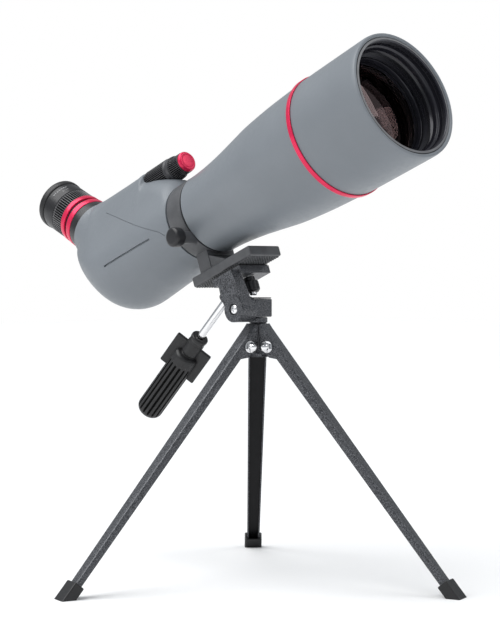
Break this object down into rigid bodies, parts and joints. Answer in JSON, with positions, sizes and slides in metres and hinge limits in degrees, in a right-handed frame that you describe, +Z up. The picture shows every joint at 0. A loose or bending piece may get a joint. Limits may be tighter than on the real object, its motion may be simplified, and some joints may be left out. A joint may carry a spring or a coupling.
{
  "type": "spotting scope",
  "caption": "Angled spotting scope with a sliding hood, dual focus knobs and a zoom eyepiece, held by a rotating collar on a folding tabletop tripod with a pan handle.",
  "frame": {"origin": "middle of the bounding box in X and Y, on the ground under the feet", "axes": "+X is the heading the scope looks along, +Y is to its left, +Z is up"},
  "size_m": [0.43, 0.2838, 0.4052],
  "materials": {
    "armour": "satin",
    "plastic": "satin",
    "rubber": "matte",
    "black_metal": "satin",
    "red_metal": "anodised",
    "gray_metal": "satin",
    "cast_paint": "hammered",
    "steel": "polished",
    "glass": "coated"
  },
  "bodies": {
    "tripod_base": {"tripod_crown": "cast_paint", "pan_stud": "steel", "pivot_bolt_left": "steel", "pivot_bolt_right": "steel", "pivot_bolt_rear": "steel", "pivot_nut_left": "steel", "pivot_nut_right": "steel", "pivot_nut_rear": "steel"},
    "leg_left_body": {"leg_left": "cast_paint", "foot_cap_left": "rubber"},
    "leg_right_body": {"leg_right": "cast_paint", "foot_cap_right": "rubber"},
    "leg_rear_body": {"leg_rear": "cast_paint", "foot_cap_rear": "rubber"},
    "pan_head": {"pan_block": "cast_paint", "pan_block_cap": "plastic", "tilt_bolt": "steel", "tilt_washer": "steel"},
    "tilting_platform": {"tilt_head": "cast_paint", "platform_pad": "rubber", "mount_collar": "gray_metal"},
    "pan_handle": {"handle_rod": "steel", "handle_grip": "rubber"},
    "camera_screw_body": {"camera_screw": "steel", "camera_screw_knob": "plastic"},
    "clamp_knob_body": {"collar_clamp_knob": "plastic"},
    "scope_body": {"front_tube": "armour", "hood_guide_seal": "plastic", "front_baffle": "black_metal", "rear_baffle": "black_metal", "objective_cell": "black_metal", "lens_retaining_ring": "black_metal", "objective_lens_front": "glass", "objective_lens_rear": "glass", "lens_spacer_ring": "black_metal", "prism_housing": "armour", "prism_cage": "black_metal", "erecting_prism": "glass", "eyepiece_base_collar": "plastic", "eyepiece_lock_ring": "red_metal", "eyepiece_barrel": "black_metal", "eyepiece_accent_ring": "red_metal", "field_lens": "glass", "eye_lens": "glass", "eye_lens_retainer": "black_metal"},
    "hood_body": {"sliding_hood": "armour", "hood_liner_ring": "black_metal", "accent_ring": "red_metal"},
    "coarse_focus_body": {"coarse_focus_knob": "rubber", "focus_screw": "steel"},
    "fine_focus_body": {"fine_focus_knob": "rubber", "fine_knob_cap": "red_metal"},
    "focus_carriage_body": {"focus_carriage": "black_metal", "focusing_lens": "glass"},
    "zoom_ring_body": {"zoom_ring": "rubber"},
    "zoom_carriage_body": {"zoom_lens_carriage": "black_metal", "zoom_lens": "glass"},
    "eyecup_twist_body": {"eyecup_twist_sleeve": "plastic"},
    "eyecup_body": {"eyecup": "rubber"}
  },
  "joints": [
    {"name": "leg_left_fold", "type": "hinge", "parent": "tripod_base", "child": "leg_left_body", "pos_m": [0.04511, 0.01318, 0.1793], "axis": [0.9799, -0.1994, 0], "range_deg": [0, 40]},
    {"name": "leg_right_fold", "type": "hinge", "parent": "tripod_base", "child": "leg_right_body", "pos_m": [0.05888, 0.02875, 0.1793], "axis": [-0.3173, 0.9483, 0], "range_deg": [0, 40]},
    {"name": "leg_rear_fold", "type": "hinge", "parent": "tripod_base", "child": "leg_rear_body", "pos_m": [0.03851, 0.03289, 0.1793], "axis": [-0.6626, -0.749, 0], "range_deg": [0, 40]},
    {"name": "pan", "type": "hinge", "parent": "tripod_base", "child": "pan_head", "pos_m": [0.0475, 0.02494, 0.2079], "axis": [0, 0, 1], "continuous": true},
    {"name": "tilt", "type": "hinge", "parent": "pan_head", "child": "tilting_platform", "pos_m": [0.0475, 0.02494, 0.2079], "axis": [0, -1, 0], "range_deg": [-30, 20]},
    {"name": "handle_twist", "type": "hinge", "parent": "tilting_platform", "child": "pan_handle", "pos_m": [0.01975, 0.01094, 0.20761], "axis": [0.726, 0, 0.6877], "range_deg": [0, 360]},
    {"name": "camera_screw_turn", "type": "hinge", "parent": "tilting_platform", "child": "camera_screw_body", "pos_m": [0.03402, 0.02494, 0.23957], "axis": [-0.3592, 0, 0.9333], "continuous": true},
    {"name": "clamp_knob_turn", "type": "hinge", "parent": "tilting_platform", "child": "clamp_knob_body", "pos_m": [-0.00101, 0.02494, 0.26295], "axis": [0, -1, 0], "range_deg": [0, 360]},
    {"name": "scope_rotation", "type": "hinge", "parent": "tilting_platform", "child": "scope_body", "pos_m": [-0.01268, 0.02494, 0.27935], "axis": [0.9333, 0, 0.3592], "range_deg": [-90, 90]},
    {"name": "hood_slide", "type": "slide", "parent": "scope_body", "child": "hood_body", "axis": [0.9333, 0, 0.3592], "range_m": [0, 0.035]},
    {"name": "coarse_focus", "type": "hinge", "parent": "scope_body", "child": "coarse_focus_body", "pos_m": [-0.08129, 0.02494, 0.30727], "axis": [0.9333, 0, 0.3592], "range_deg": [-270, 270]},
    {"name": "fine_focus", "type": "hinge", "parent": "scope_body", "child": "fine_focus_body", "pos_m": [-0.05329, 0.02494, 0.31805], "axis": [0.9333, 0, 0.3592], "range_deg": [-270, 270]},
    {"name": "focus_carriage_slide", "type": "slide", "parent": "scope_body", "child": "focus_carriage_body", "axis": [0.9333, 0, 0.3592], "range_m": [-0.0076, 0.0076]},
    {"name": "zoom_turn", "type": "hinge", "parent": "scope_body", "child": "zoom_ring_body", "pos_m": [-0.18074, 0.02494, 0.28514], "axis": [-0.9139, 0, 0.4059], "range_deg": [0, 120]},
    {"name": "zoom_carriage_slide", "type": "slide", "parent": "scope_body", "child": "zoom_carriage_body", "axis": [-0.9139, 0, 0.4059], "range_m": [0, 0.012]},
    {"name": "eyecup_twist", "type": "hinge", "parent": "scope_body", "child": "eyecup_twist_body", "pos_m": [-0.19353, 0.02494, 0.29082], "axis": [-0.9139, 0, 0.4059], "range_deg": [0, 240]},
    {"name": "eyecup_rise", "type": "slide", "parent": "eyecup_twist_body", "child": "eyecup_body", "axis": [-0.9139, 0, 0.4059], "range_m": [0, 0.007]}
  ],
  "couplings": [
    {"joint": "focus_carriage_slide", "follows": "coarse_focus", "m_per_rad": 0.0014854},
    {"joint": "zoom_carriage_slide", "follows": "zoom_turn", "m_per_rad": 0.0057295},
    {"joint": "eyecup_rise", "follows": "eyecup_twist", "m_per_rad": 0.0016711}
  ]
}
